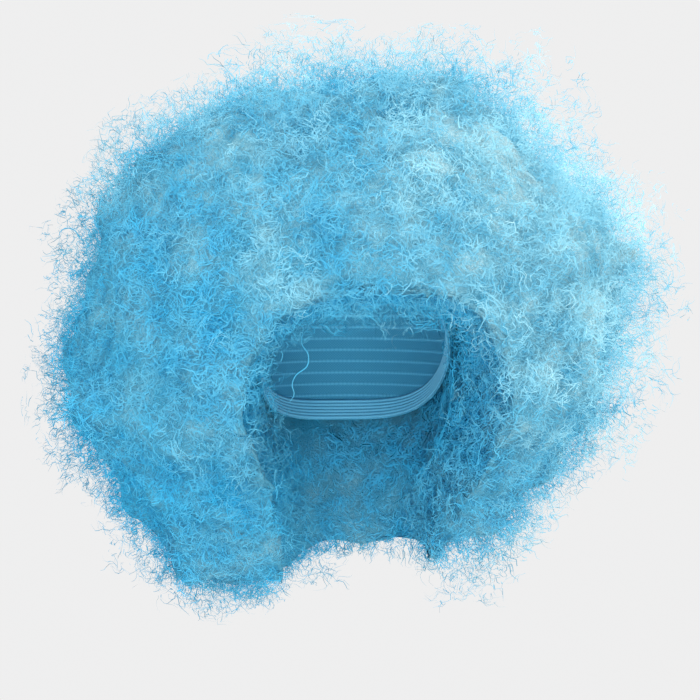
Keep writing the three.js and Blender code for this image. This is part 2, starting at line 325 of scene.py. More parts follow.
def closed_grid(name, grid, poles):
    """A grid of points (around, along, 3) as a closed mesh: round its first side, and along its
    second either from pole to pole, where the first and last places are each one point, or round as
    well. Faces look outward."""
    around, along, _ = grid.shape
    step, following = np.arange(around), (np.arange(around) + 1) % around
    if poles:
        points = np.concatenate([grid[:, 1:-1].reshape(-1, 3), grid[:1, 0], grid[:1, -1]])
        inner = along - 2
        first, second = np.arange(inner - 1), np.arange(1, inner)
    else:
        points = grid.reshape(-1, 3)
        inner = along
        first, second = np.arange(inner), (np.arange(inner) + 1) % inner
    a, b = step[:, None] * inner + first, following[:, None] * inner + first
    c, d = following[:, None] * inner + second, step[:, None] * inner + second
    quads = np.stack([a, b, c, d], axis=-1).reshape(-1, 4)
    faces = quads.tolist()
    if poles:
        top, bottom = len(points) - 2, len(points) - 1
        crown = np.stack([step * 0 + top, following * inner, step * inner], axis=1)
        end = inner - 1
        base = np.stack([step * 0 + bottom, step * inner + end, following * inner + end], axis=1)
        faces += crown.tolist() + base.tolist()
    corner = points[quads]
    volume = np.sum(np.cross(corner[:, 0], corner[:, 1]) * corner[:, 2])
    volume += np.sum(np.cross(corner[:, 0], corner[:, 2]) * corner[:, 3])
    if volume < 0:
        faces = [face[::-1] for face in faces]
    mesh = bpy.data.meshes.new(name)
    mesh.from_pydata(points.tolist(), [], faces)
    shade_smooth(mesh)
    return mesh


def tube_mesh(name, paths, radius):
    """Round tubes carried along paths (tubes, steps, 3): a ring of points stands square to the path
    at each step, and shrinks almost to nothing at both ends."""
    tubes, steps, _ = paths.shape
    sides = 6
    along = unit(np.gradient(paths, axis=1))
    side = unit(np.cross(along, np.array([0.3, 0.2, 0.93])))
    other = np.cross(along, side)
    angle = np.linspace(0, 2 * math.pi, sides, endpoint=False)[None, None, :, None]
    taper = np.sin(np.linspace(0, math.pi, steps)) ** 0.4 + 0.02
    ring = side[:, :, None] * np.cos(angle) + other[:, :, None] * np.sin(angle)
    points = paths[:, :, None] + radius * taper[None, :, None, None] * ring
    tube, step = np.arange(tubes)[:, None], np.arange(steps - 1)
    first = ((tube * steps + step) * sides)[:, :, None]
    place, following = np.arange(sides), (np.arange(sides) + 1) % sides
    corners = [place, following, following + sides, place + sides]
    quads = np.stack([first + corner for corner in corners], axis=-1)
    ends = (tube * steps * sides + place[::-1]).tolist()
    ends += ((tube * steps + steps - 1) * sides + place).tolist()
    mesh = bpy.data.meshes.new(name)
    mesh.from_pydata(points.reshape(-1, 3).tolist(), [], quads.reshape(-1, 4).tolist() + ends)
    add_uv(mesh, "fibre", np.tile([0.3, 0.5], len(mesh.loops)))
    shade_smooth(mesh)
    return mesh


def curve_through(knots, steps):
    """A smooth path through knots: between two of them it is the cubic whose slope at each knot is
    that of the line between its neighbours."""
    knots = np.asarray(knots, float)
    ends = np.concatenate([2 * knots[:1] - knots[1:2], knots, 2 * knots[-1:] - knots[-2:-1]])
    place = np.linspace(0, len(knots) - 1 - 1e-6, steps)
    span = place.astype(int)
    share = (place - span)[:, None]
    a, b, c, d = (ends[span + k] for k in range(4))
    curve = 2 * b + (c - a) * share + (2 * a - 5 * b + 4 * c - d) * share**2
    return 0.5 * (curve + (3 * b - a - 3 * c + d) * share**3)


# Materials


class Nodes:
    """A short way to lay out one material's nodes."""

    def __init__(self, name):
        self.material = bpy.data.materials.new(name)
        self.material.use_nodes = True
        self.tree = self.material.node_tree
        self.shader = self.tree.nodes["Principled BSDF"]

    def add(self, kind, inputs=(), **settings):
        """A node of a kind, with its settings made and its inputs set or linked."""
        node = self.tree.nodes.new(kind)
        for key, value in settings.items():
            setattr(node, key, value)
        for key, value in dict(inputs).items():
            self.put(node.inputs[key], value)
        return node

    def put(self, socket, value):
        """Links a socket to another node's, or sets its number or colour."""
        if isinstance(value, bpy.types.NodeSocket):
            self.tree.links.new(value, socket)
        else:
            socket.default_value = value

    def noise(self, vector, scale, detail=2.0, rough=0.5):
        """Noise of a scale, read at a vector."""
        return self.add(
            "ShaderNodeTexNoise",
            {"Vector": vector, "Scale": scale, "Detail": detail, "Roughness": rough},
        )

    def ramp(self, share, stops):
        """A colour for a share from 0 to 1, from pairs of place and colour."""
        node = self.add("ShaderNodeValToRGB", {"Fac": share})
        elements = node.color_ramp.elements
        while len(elements) < len(stops):
            elements.new(0.5)
        for element, (place, colour) in zip(elements, stops):
            element.position = place
            element.color = (*colour[:3], 1)
        return node.outputs["Color"]

    def math(self, operation, a, b=0.0, clamp=False):
        """The result of one sum on two numbers."""
        node = self.add("ShaderNodeMath", {0: a, 1: b}, operation=operation, use_clamp=clamp)
        return node.outputs[0]

    def scaled(self, value, factor):
        """A number times a factor."""
        return self.math("MULTIPLY", value, factor)

    def wave(self, place, rate):
        """A row of humps from 0 to 1 along a place, with a hump for each half turn of the rate."""
        return self.math("ABSOLUTE", self.math("SINE", self.scaled(place, rate)))


def hair_clouds(nodes, place):
    """How much the large soft clouds that cross the whole wig lighten or deepen the hair."""
    large = nodes.noise(place, 13.0, 2.0, 0.55).outputs["Fac"]
    small = nodes.noise(place, 38.0, 1.0, 0.5).outputs["Fac"]
    share = nodes.math("ADD", nodes.scaled(large, 0.55), nodes.scaled(small, 0.45))
    return nodes.scaled(nodes.math("SUBTRACT", share, 0.5), 1.5)


def hair_colour(nodes, share, hair, middle, light):
    """The hair's colour for a share from 0, deep, to 1, pale. middle and light are the shares for
    its colour in full light and its light colour."""
    stops = [
        (0.0, hair.deep_colour),
        (middle, hair.colour),
        (light, hair.light_colour),
        (1.0, hair.pale_colour),
    ]
    return nodes.ramp(share, stops)


def fibre_material(hair):
    """Loose fibre: a strip reflects on its front and lets light through on its back, so that it is
    as bright from both sides. The clouds lighten or deepen it, each fibre has its own shade, and it
    is as pale as its UV map says: painted light and shade, paler higher up and to the upper right,
    and deeper inside the face opening."""
    nodes = Nodes("curly_fibre")
    place = nodes.add("ShaderNodeTexCoord").outputs["Object"]
    fibre = nodes.add("ShaderNodeUVMap", uv_map="fibre").outputs["UV"]
    split = nodes.add("ShaderNodeSeparateXYZ", {"Vector": fibre})
    own = nodes.math("ADD", nodes.scaled(split.outputs["Y"], 0.12), hair_clouds(nodes, place))
    # painted light and shade: the UV map's paleness, over a base
    pale = nodes.math("ADD", nodes.scaled(split.outputs["X"], 0.42), 0.12)
    share = nodes.math("ADD", own, pale, clamp=True)
    colour = hair_colour(nodes, share, hair, 0.38, 0.72)
    nodes.put(nodes.shader.inputs["Base Color"], colour)
    nodes.shader.inputs["Roughness"].default_value = 0.9
    nodes.shader.inputs["Specular IOR Level"].default_value = 0.0
    through = nodes.add("ShaderNodeBsdfTranslucent", {"Color": colour})
    behind = nodes.add("ShaderNodeNewGeometry").outputs["Backfacing"]
    sides = {0: behind, 1: nodes.shader.outputs[0], 2: through.outputs[0]}
    both = nodes.add("ShaderNodeMixShader", sides)
    nodes.put(nodes.tree.nodes["Material Output"].inputs["Surface"], both.outputs[0])
    return nodes.material


def loose_fibre(hair):
    """The material that all loose fibre shares, made when it is first asked for."""
    return bpy.data.materials.get("curly_fibre") or fibre_material(hair)


def packed_hair_material(hair):
    """Hair too dense to see into: fine wavy filaments in light and deep shades, with a bump, and
    the painted light and shade that the mesh's attribute holds.
    """
    nodes = Nodes("packed_hair")
    place = nodes.add("ShaderNodeTexCoord").outputs["Object"]
    waves = nodes.noise(place, 90.0, 2.0, 0.5).outputs["Color"]
    bend = {0: waves, 1: (0.035, 0.035, 0.035), 2: place}
    bent = nodes.add("ShaderNodeVectorMath", bend, operation="MULTIPLY_ADD").outputs[0]
    ridges = nodes.noise(bent, 330.0, 3.0, 0.62).outputs["Fac"]
    fold = nodes.math("ABSOLUTE", nodes.math("SUBTRACT", ridges, 0.5))
    thread = nodes.math("SUBTRACT", 1.0, nodes.scaled(fold, 7.0), clamp=True)
    # painted light and shade from the mesh: paler on tufts and to the upper right, deeper in
    # creases and inside the face opening
    swell_and_shade = nodes.add("ShaderNodeAttribute", attribute_name="swell_and_shade").outputs["Fac"]
    fine = nodes.math("ADD", nodes.scaled(thread, 0.30), nodes.scaled(swell_and_shade, 0.30))
    clouds = nodes.math("ADD", hair_clouds(nodes, place), 0.25)
    share = nodes.math("ADD", fine, clouds, clamp=True)
    colour = hair_colour(nodes, share, hair, 0.42, 0.78)
    nodes.put(nodes.shader.inputs["Base Color"], colour)
    nodes.shader.inputs["Roughness"].default_value = 0.85
    nodes.shader.inputs["Specular IOR Level"].default_value = 0.05
    bump = nodes.add("ShaderNodeBump", {"Height": thread, "Strength": 0.8, "Distance": 0.0014})
    nodes.put(nodes.shader.inputs["Normal"], bump.outputs["Normal"])
    return nodes.material


def net_material(cap):
    """Stretch net: a fine diamond mesh, crossed by level rows of sewn weft. The way round the head
    is an angle times the cap's mean radius."""
    mean_radius = 0.085
    nodes = Nodes("stretch_net")
    place = nodes.add("ShaderNodeTexCoord").outputs["Object"]
    split = nodes.add("ShaderNodeSeparateXYZ", {"Vector": place})
    around = nodes.math("ARCTAN2", split.outputs["X"], split.outputs["Y"])
    level = split.outputs["Z"]
    wave = 2 * math.pi / cap.net_pitch
    turn = nodes.scaled(around, mean_radius * wave)
    climb = nodes.scaled(level, wave)
    one = nodes.math("ABSOLUTE", nodes.math("SINE", nodes.math("ADD", turn, climb)))
    two = nodes.math("ABSOLUTE", nodes.math("SINE", nodes.math("SUBTRACT", turn, climb)))
    threads = nodes.math("SUBTRACT", 1.0, nodes.math("MINIMUM", one, two))
    row = nodes.math("FRACT", nodes.math("DIVIDE", level, cap.weft_pitch))
    aside = nodes.math("ABSOLUTE", nodes.math("SUBTRACT", row, 0.5))
    weft = nodes.math("SUBTRACT", 1.0, nodes.scaled(aside, 5.0), clamp=True)
    stitch = nodes.wave(around, mean_radius * math.pi / cap.stitch_pitch)
    sewn = nodes.math("MULTIPLY", weft, nodes.math("ADD", nodes.scaled(stitch, 0.6), 0.4))
    mesh = nodes.scaled(nodes.math("POWER", threads, 3.0), 0.6)
    height = nodes.math("MAXIMUM", mesh, sewn)
    stops = [(0.0, cap.hole_colour), (0.5, cap.net_colour), (1.0, cap.weft_colour)]
    colour = nodes.ramp(height, stops)
    nodes.put(nodes.shader.inputs["Base Color"], colour)
    nodes.shader.inputs["Roughness"].default_value = 0.85
    nodes.shader.inputs["Specular IOR Level"].default_value = 0.25
    bump = nodes.add("ShaderNodeBump", {"Height": height, "Strength": 0.8, "Distance": 0.0009})
    nodes.put(nodes.shader.inputs["Normal"], bump.outputs["Normal"])
    return nodes.material


def elastic_material(cap):
    """Woven elastic: ribs along the hem, crossed by fine upright threads."""
    threads = 330
    nodes = Nodes("woven_elastic")
    place = nodes.add("ShaderNodeUVMap", uv_map="hem").outputs["UV"]
    split = nodes.add("ShaderNodeSeparateXYZ", {"Vector": place})
    ribs = round(cap.hem_width / cap.rib_pitch)
    upright = nodes.wave(split.outputs["X"], math.pi * threads)
    rib = nodes.wave(split.outputs["Y"], math.pi * ribs)
    height = nodes.math("MULTIPLY", nodes.math("ADD", nodes.scaled(upright, 0.5), 0.5), rib)
    colour = nodes.ramp(height, [(0.0, cap.net_colour), (1.0, cap.elastic_colour)])
    nodes.put(nodes.shader.inputs["Base Color"], colour)
    nodes.shader.inputs["Roughness"].default_value = 0.65
    nodes.shader.inputs["Sheen Weight"].default_value = 0.2
    bump = nodes.add("ShaderNodeBump", {"Height": height, "Strength": 0.6, "Distance": 0.0006})
    nodes.put(nodes.shader.inputs["Normal"], bump.outputs["Normal"])
    return nodes.material


def plain_material(name, colour):
    """A plain matt finish."""
    nodes = Nodes(name)
    nodes.shader.inputs["Base Color"].default_value = (*colour, 1)
    nodes.shader.inputs["Roughness"].default_value = 0.9
    return nodes.material


# Hair


def overlapping_sections(spread):
    """Corners and triangles of all sections together, each merged and pushed out along its corners'
    normals, so that neighbours overlap."""
    points, triangles, first = [], [], 0
    for section in SECTIONS:
        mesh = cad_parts["hair_" + section].data.copy()
        shape = bmesh.new()
        shape.from_mesh(mesh)
        bmesh.ops.remove_doubles(shape, verts=shape.verts, dist=1e-6)
        shape.to_mesh(mesh)
        shape.free()
        points.append(vertex_array(mesh) + spread * normal_array(mesh))
        triangles.append(triangle_array(mesh) + first)
        first += len(points[-1])
        bpy.data.meshes.remove(mesh)
    return np.concatenate(points), np.concatenate(triangles)


def packed_hair_mesh(hair):
    """The dense hair: all sections laid over with one even grid of faces, smoothed, sunk into the
    solids to leave room for the fibres, and raised and sunk along its normals by noise in three
    sizes. It stays clear of the cap. Its attribute holds how pale each point is, as painted light
    and shade: paler on tufts and deeper in creases, where shade falls, paler where the hair is
    loose, towards the upper right where the key light falls, and deeper far inside the face
    opening."""
    overlap, margin = 0.0007, 0.0032
    points, triangles = overlapping_sections(overlap)
    rough = bpy.data.meshes.new("rough")
    rough.from_pydata(points, [], triangles)
    carrier = bpy.data.objects.new("carrier", rough)
    bpy.context.scene.collection.objects.link(carrier)
    even = carrier.modifiers.new("even", "REMESH")
    even.mode = "VOXEL"
    even.voxel_size = hair.grid
    bpy.context.view_layer.update()
    ready = carrier.evaluated_get(bpy.context.evaluated_depsgraph_get())
    packed = bpy.data.meshes.new_from_object(ready)
    bpy.data.objects.remove(carrier)
    bpy.data.meshes.remove(rough)
    edges = edge_array(packed)
    points = smoothed(vertex_array(packed), edges, hair.smoothing)
    packed.vertices.foreach_set("co", points.astype(np.float32).ravel())
    packed.update()
    large = lattice_noise(points, 0.034, 1)
    middle = lattice_noise(points + 0.006 * vector_noise(points, 0.03, 40), 0.0165, 5)
    small = lattice_noise(points + 0.003 * vector_noise(points, 0.012, 44), 0.0085, 9)
    swell_and_shade = 0.0034 * large + 0.0026 * middle + 0.0016 * small
    depth = hair.inset * np.minimum(looseness_and_light(points) ** 0.7, 1.1)
    points = points + normal_array(packed) * (swell_and_shade - depth)[:, None]
    points = clear_of_head(smoothed(points, edges, 1, 0.3), margin)
    packed.vertices.foreach_set("co", points.astype(np.float32).ravel())
    shade_smooth(packed)
    # Painted light and shade: paler on tufts and deeper in creases, paler towards the upper right
    # where the key light falls, deeper inside the face opening
    pale = 0.5 + swell_and_shade / 0.010 + 2.6 * (looseness_and_light(points) - 1) + openness(points) - 1
    values = packed.attributes.new("swell_and_shade", "FLOAT", "POINT").data
    values.foreach_set("value", np.clip(pale, -1, 2).astype(np.float32))
    packed.name = "packed_hair"
    return packed


def section_of(points):
    """The number of the section that holds each point. The crown is a cone that opens upwards from
    the ball's centre. Below it a wedge in front is the fringe, down to a level, a wedge behind is
    the back, and the nape under a second level. The rest is left or right."""
    place = points - BALL_CENTRE
    turned = np.degrees(np.arctan2(np.abs(place[:, 0]), -place[:, 1]))
    tilt = np.degrees(np.arctan2(np.linalg.norm(place[:, :2], axis=1), place[:, 2]))
    section = np.where(place[:, 0] < 0, LEFT, RIGHT)
    section[(turned < FRINGE_ANGLE) & (points[:, 2] > FRINGE_LEVEL)] = FRINGE
    section[turned > 180 - BACK_ANGLE] = BACK
    section[(turned > 180 - BACK_ANGLE) & (points[:, 2] < NAPE_LEVEL)] = NAPE
    section[tilt < CROWN_ANGLE] = CROWN
    return section


def scattered_roots(mesh, count, rng):
    """Root points and normals, scattered over the faces that don't look into the cap: more where
    the hair is loose, and more where its surface turns off from the ball, as round the opening."""
    cap_reach = 0.014
    corner = vertex_array(mesh)[triangle_array(mesh)]
    across = np.cross(corner[:, 1] - corner[:, 0], corner[:, 2] - corner[:, 0])
    middle = corner.mean(axis=1)
    from_head = middle - HEAD_CENTRE
    inward = np.sum(across * from_head, axis=1) < 0
    at_cap = inward & (np.linalg.norm(from_head / (HEAD_HALF + cap_reach), axis=1) < 1)
    out = np.sum(unit(across) * unit(middle - BALL_CENTRE), axis=1)
    share = (1 + 1.3 * np.clip(1 - abs(2 * out - 1), 0, 1)) * looseness_and_light(middle) ** 0.3
    weight = np.where(at_cap, 0, np.linalg.norm(across, axis=1) * share)
    chosen = rng.choice(len(weight), count, p=weight / weight.sum())
    a, b = rng.random((2, count, 1))
    over = (a + b > 1)[:, 0]
    a[over], b[over] = 1 - a[over], 1 - b[over]
    corner = corner[chosen]
    roots = corner[:, 0] + a * (corner[:, 1] - corner[:, 0]) + b * (corner[:, 2] - corner[:, 0])
    return roots, unit(across[chosen])


def room_at(points):
    """How free of the head and neck each point is: 0 beside them, rising to 1 further off."""
    from_head = np.linalg.norm((points - HEAD_CENTRE) / HEAD_HALF, axis=1) - 1
    from_neck = np.linalg.norm((points[:, :2] - (0, NECK_BACK)) / NECK_HALF, axis=1) - 1
    space = from_head * HEAD_HALF[0]
    beside_neck = np.minimum(space, from_neck * NECK_HALF[0])
    space = np.where(points[:, 2] < HEAD_CENTRE[2], beside_neck, space)
    return np.clip((space - NO_ROOM) / (FULL_ROOM - NO_ROOM), 0.0, 1.0)


def looseness_and_light(points):
    """How loosely the hair is teased, as a share: more towards the upper right, seen from the
    front. The colours also use this share to paint the hair paler there: painted light from the key
    lamp."""
    return 1 + LOOSE_AND_LIT_GAIN * (points - BALL_CENTRE) @ LOOSE_AND_LIT_WAY / BALL_RADIUS


def openness(points):
    """How open to the light each point is: 1 at the ball's surface, falling to 0 deep in the face
    opening."""
    reach = np.linalg.norm((points - BALL_CENTRE) / BALL_HALF, axis=1)
    return np.clip((reach - 0.5) / 0.35, 0, 1)


def tuft_share(roots):
    """How far the layers stand out over each root, as a share of their height: noise in two sizes,
    a smooth swelling in the middle of each lobe, and more where the hair is loose."""
    share = 0.60 + 0.42 * lattice_noise(roots, 0.026, 31) + 0.30 * lattice_noise(roots, 0.06, 35)
    outward = unit(roots - BALL_CENTRE)
    for lobe in LOBES:
        bearing, elevation = math.radians(lobe.bearing), math.radians(lobe.elevation)
        level = math.cos(elevation)
        middle = (math.sin(bearing) * level, -math.cos(bearing) * level, math.sin(elevation))
        away = np.degrees(np.arccos(np.clip(outward @ np.array(middle), -1, 1)))
        share = share + lobe.height * np.exp(-((away / lobe.half) ** 2))
    return np.clip(share, 0.2, 1.7) * looseness_and_light(roots) ** 0.6


def fibre_paths(roots, normals, layer, hair, rng):
    """Paths of the fibres of wisps that start over roots, as (fibres, steps, 3), with the way that
    each fibre faces. All fibres of a wisp share its line: it starts at a height over the root,
    which is greater on tufts, and runs at the layer's slope to the hair, in a direction that
    neighbouring wisps nearly share. Round that line goes a helix, and noise in space moves it
    further. Each fibre starts a little to the side of its wisp, and has its own length, phase and
    radius. Near the head and neck wisps are shorter and lie down."""
    count = len(roots) * layer.fibres
    roots = np.repeat(roots, layer.fibres, axis=0)
    normals = np.repeat(normals, layer.fibres, axis=0)

    def for_wisps(low, high):
        return np.repeat(rng.uniform(low, high, count // layer.fibres), layer.fibres)[:, None]

    def for_fibres(low, high):
        return rng.uniform(low, high, count)[:, None]

    stray = np.repeat(rng.normal(size=(count // layer.fibres, 3)), layer.fibres, axis=0)
    flow = vector_noise(roots, 0.05, 21) + layer.stray * stray + np.array([0, 0, -0.15])
    level = unit(flow - normals * np.sum(flow * normals, axis=1, keepdims=True))
    side = np.cross(normals, level)
    room = room_at(roots)[:, None]
    tuft = tuft_share(roots)[:, None]
    start = roots + normals * layer.height * tuft * room * for_wisps(0, 1) ** 1.6
    slope = np.radians(layer.slope + layer.slope_spread * for_wisps(-1, 1)) * (0.15 + 0.85 * room)
    ahead = level * np.cos(slope) + normals * np.sin(slope)
    ahead = unit(ahead + layer.split * rng.normal(size=(count, 3)))
    up = np.cross(ahead, side)
    start = start + layer.spread * (level * for_fibres(-1, 1) + side * for_fibres(-1, 1))
    length = hair.length * layer.length * for_wisps(0.55, 1.0) * for_fibres(0.75, 1.1)
    length = length * (0.7 + 0.3 * tuft) * (0.5 + 0.5 * room)
    share = np.linspace(0, 1, layer.steps)[None, :, None]
    onset = np.minimum(1, 0.25 + 3 * share)
    run = length[:, None] * share
    pitch = hair.pitch * layer.pitch * for_wisps(0.75, 1.4)
    phase = for_wisps(0, 1) + for_fibres(-0.2, 0.2)
    turn = 2 * math.pi * (run / pitch[:, None] + phase[:, None])
    radius = hair.curl * layer.curl * for_wisps(0.5, 1.2) * for_fibres(0.75, 1.25)
    radius = (radius * (0.4 + 0.6 * room))[:, None] * onset
    hand = np.where(for_wisps(0, 1) < 0.5, -1, 1)[:, None]
    curl = radius * (up[:, None] * np.cos(turn) + hand * side[:, None] * np.sin(turn))
    bend = unit(vector_noise(roots, 0.02, 61))[:, None] * layer.bend * run**2 / 0.03
    fall = normals[:, None] * (run * np.cos(slope)[:, None]) ** 2 / (2 * BALL_RADIUS)
    paths = start[:, None] + ahead[:, None] * run + curl + bend - fall
    frizz = vector_noise(paths.reshape(-1, 3), 0.0075, 71).reshape(paths.shape)
    paths = paths + hair.frizz * (0.3 + 0.7 * room[:, None]) * frizz * onset
    outward = unit(roots - BALL_CENTRE)
    facing = unit(normals + 0.3 * outward + layer.turned * unit(rng.normal(size=(count, 3))))
    return paths, facing


def fibre_mesh(name, roots, normals, layer, hair, rng):
    """Fibres as flat strips along their paths. A strip's half width is square to its path and to
    the way it faces, and narrows to the tip. Light falls on it as on the hair that it lies over.
    A fibre is painted paler where the hair is loose, towards the upper right where the key light
    falls, and the higher it rises, as light reaches the outer fibres: painted light. It is painted
    deeper in colour inside the face opening: painted shade."""
    margin = 0.004
    paths, facing = fibre_paths(roots, normals, layer, hair, rng)
    paths = clear_of_head(paths.reshape(-1, 3), margin).reshape(paths.shape)
    inside = np.clip(paths, np.array(CAD_BOX[0]), np.array(CAD_BOX[1]))
    paths = inside + hair.reach * np.tanh((paths - inside) / hair.reach)
    count, steps, _ = paths.shape
    along = unit(np.gradient(paths, axis=1))
    share = np.linspace(0, 1, steps)[None, :, None]
    width = hair.width * layer.width * rng.uniform(0.7, 1.3, count)[:, None, None]
    sides = unit(np.cross(along, facing[:, None])) * width / 2 * (1 - 0.75 * share**2)
    shade = np.repeat(rng.random(len(roots)), layer.fibres) + rng.uniform(-0.15, 0.15, count)
    roots = np.repeat(roots, layer.fibres, axis=0)
    normals = np.repeat(normals, layer.fibres, axis=0)
    # Painted light and shade: paler to the upper right and the higher a fibre rises, deeper inside
    # the face opening
    loose_and_lit, light = looseness_and_light(roots)[:, None], openness(roots)[:, None]
    rise = np.sum((paths - roots[:, None]) * normals[:, None], axis=2) / RISE_UNIT * loose_and_lit**2
    pale = PAINTED_LIGHT_GAIN * (loose_and_lit - PAINTED_LIGHT_BASE) + PAINTED_GLARE_GAIN * np.maximum(loose_and_lit - PAINTED_GLARE_LEVEL, 0)
    pale = (pale + RISE_LIGHT_GAIN * rise) * light + DEEP_GAIN * (light - 1)
    mesh = strip_mesh(name, paths, sides, np.clip(pale, -1, 1), np.clip(shade, 0, 1))
    lit = unit(normals + 0.12 * facing + (1 - light) * LIT_WAY)
    lit = np.repeat(lit, 2 * steps, axis=0).astype(np.float32)
    custom = mesh.attributes.new("custom_normal", "FLOAT_VECTOR", "POINT")
    custom.data.foreach_set("vector", lit.ravel())
    mesh.update()
    return mesh


def add_layer(layer, hair):
    """The fibres of one layer, as a piece for each section."""
    packed = bpy.data.objects.get("packed_hair")
    if packed is None:
        raise RuntimeError("the packed hair comes first")
    rng = np.random.default_rng(hair.seed + layer.seed)
    wisps = int(layer.wisps * hair.density)
    roots, normals = scattered_roots(packed.data, wisps, rng)
    section = section_of(roots)
    for number, name in enumerate(SECTIONS):
        here = section == number
        mesh = fibre_mesh(name + "_" + layer.name, roots[here], normals[here], layer, hair, rng)
        piece = new_object(name + "_" + layer.name, mesh, loose_fibre(hair))
        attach(piece, "root")


# Cap


def rim_level(behind):
    """The height of the cap's rim at each distance behind the head's middle: level round the
    forehead, then one cubic curve that falls over the ear and ends level at the nape."""
    share = np.linspace(0, 1, 200)
    left = 1 - share
    weights = np.stack([left**3, 3 * share * left**2, 3 * share**2 * left, share**3])
    half = HEAD_HALF[1]
    place = np.array([-half, -half / 4, half / 8, half]) @ weights
    level = np.array([CAP_FRONT_LEVEL, CAP_FRONT_LEVEL, CAP_BACK_LEVEL, CAP_BACK_LEVEL]) @ weights
    return np.interp(behind, place, level)


def head_surface(turn, tilt, offset):
    """Points of the head form grown by an offset. turn runs round from straight ahead and tilt runs
    down from the crown, both in radians. The upper half is an ellipsoid, and the lower one another
    that reaches further down."""
    half = np.where(np.cos(tilt) > 0, HEAD_HALF[2], HEAD_BASE) + offset
    out = np.sin(tilt)
    x = np.sin(turn) * out * (HEAD_HALF[0] + offset)
    y = -np.cos(turn) * out * (HEAD_HALF[1] + offset)
    return HEAD_CENTRE + np.stack([x, y, np.cos(tilt) * half + 0 * x], axis=-1)


def rim_tilt(turn, raised):
    """How far down from the crown the head form meets the rim, or a line raised above it."""
    tilt = np.linspace(0.1, 3.0, 1200)
    points = head_surface(turn[:, None], tilt[None, :], 0.0)
    above = points[..., 2] - rim_level(points[..., 1]) - raised
    first = np.argmax(above < 0, axis=1)
    row = np.arange(len(turn))
    before, after = above[row, first - 1], above[row, first]
    return tilt[first - 1] + (tilt[1] - tilt[0]) * before / (before - after)


def cap_mesh(cap):
    """The cap as one closed wall over the head form. Along the grid the wall runs from the crown
    down the inside to the rim, round it, and back up the outside."""
    around, rows = 120, 34
    turn = np.linspace(0, 2 * math.pi, around, endpoint=False)
    down = np.linspace(0, 1, rows)
    share = np.concatenate([down, [1.0], down[::-1]])
    offset = np.concatenate([0 * down, [cap.wall / 2], 0 * down + cap.wall])
    past = np.concatenate([0 * down, [0.006], 0 * down])
    tilt = rim_tilt(turn, 0.0)[:, None] * share + past
    return closed_grid("cap_net", head_surface(turn[:, None], tilt, offset[None, :]), True)


def hem_mesh(cap):
    """The hem as one closed strip inside the cap, along its rim. Across the strip its inner face
    swells over each rib. The UV map holds the share of the way round the hem and across it."""
    around, across = 240, 31
    turn = np.linspace(0, 2 * math.pi, around, endpoint=False)
    up = np.linspace(0, 1, across)
    ribs = round(cap.hem_width / cap.rib_pitch)
    inner = -cap.hem_gap - cap.hem_wall * (0.55 + 0.45 * np.abs(np.sin(math.pi * ribs * up)) ** 0.6)
    share = np.concatenate([up, [1.0, 0.66, 0.33, 0.0]])
    offset = np.concatenate([inner, np.full(4, -cap.hem_gap)])
    low, high = rim_tilt(turn, 0.0), rim_tilt(turn, cap.hem_width)
    tilt = low[:, None] + (high - low)[:, None] * share
    mesh = closed_grid("hem_elastic", head_surface(turn[:, None], tilt, offset[None, :]), False)
    vertex = np.empty(len(mesh.loops), np.int32)
    mesh.loops.foreach_get("vertex_index", vertex)
    column, place = vertex // len(share), vertex % len(share)
    first = np.repeat(column.reshape(-1, 4).max(axis=1) == around - 1, 4) & (column == 0)
    values = np.stack([np.where(first, around, column) / around, share[place]], axis=1)
    add_uv(mesh, "hem", values)
    return mesh


# Settings


def colour_setting(name, description, default):
    """A colour property."""
    return FloatVectorProperty(
        name=name, description=description, default=default, subtype="COLOR", size=3, min=0, max=1
    )


def length_setting(name, description, default):
    """A length property, in metres."""
    return FloatProperty(
        name=name, description=description, default=default, min=0, unit="LENGTH", precision=4
    )


def power_setting(name, description, default):
    """A lamp's power, in watts."""
    return FloatProperty(name=name, description=description, default=default, min=0, unit="POWER")


class WigHairSettings(PropertyGroup):
    colour: colour_setting("Colour", "Fibre in full light", (0.097, 0.372, 0.528))
    # The deep colour is reached by the dark clouds and by painted shade: in the creases of the
    # packed hair and deep in the face opening.
    deep_colour: colour_setting("Deep colour", "Fibre in the hollows", (0.038, 0.350, 0.575))
    light_colour: colour_setting("Light colour", "Fibre on the clouds", (0.260, 0.550, 0.655))
    # The pale colour is reached by the light clouds and by painted light: on tufts, on fibres that
    # rise high, and towards the upper right where the key light falls.
    pale_colour: colour_setting("Pale colour", "The palest tips", (0.500, 0.730, 0.780))
    grid: length_setting("Grid", "Spacing of the dense hair's faces", 0.0058)
    smoothing: IntProperty(name="Smoothing", description="Rounds of smoothing", default=26, min=0)
    inset: length_setting("Inset", "How far the dense hair lies inside the solids", 0.0140)
    density: FloatProperty(
        name="Density", description="Share of all the fibres", default=1.0, min=0, subtype="FACTOR"
    )
    width: length_setting("Width", "Width of a fibre", 0.00048)
    length: length_setting("Length", "Length of a fibre's line", 0.022)
    curl: length_setting("Curl", "Radius of a fibre's curl", 0.0028)
    pitch: length_setting("Pitch", "Length of one turn of curl", 0.0170)
    frizz: length_setting("Frizz", "How far a fibre strays from its curl", 0.0028)
    reach: length_setting("Reach", "How far fibres may pass the solids' box", 0.020)
    seed: IntProperty(name="Seed", description="Start of the scatter", default=7)


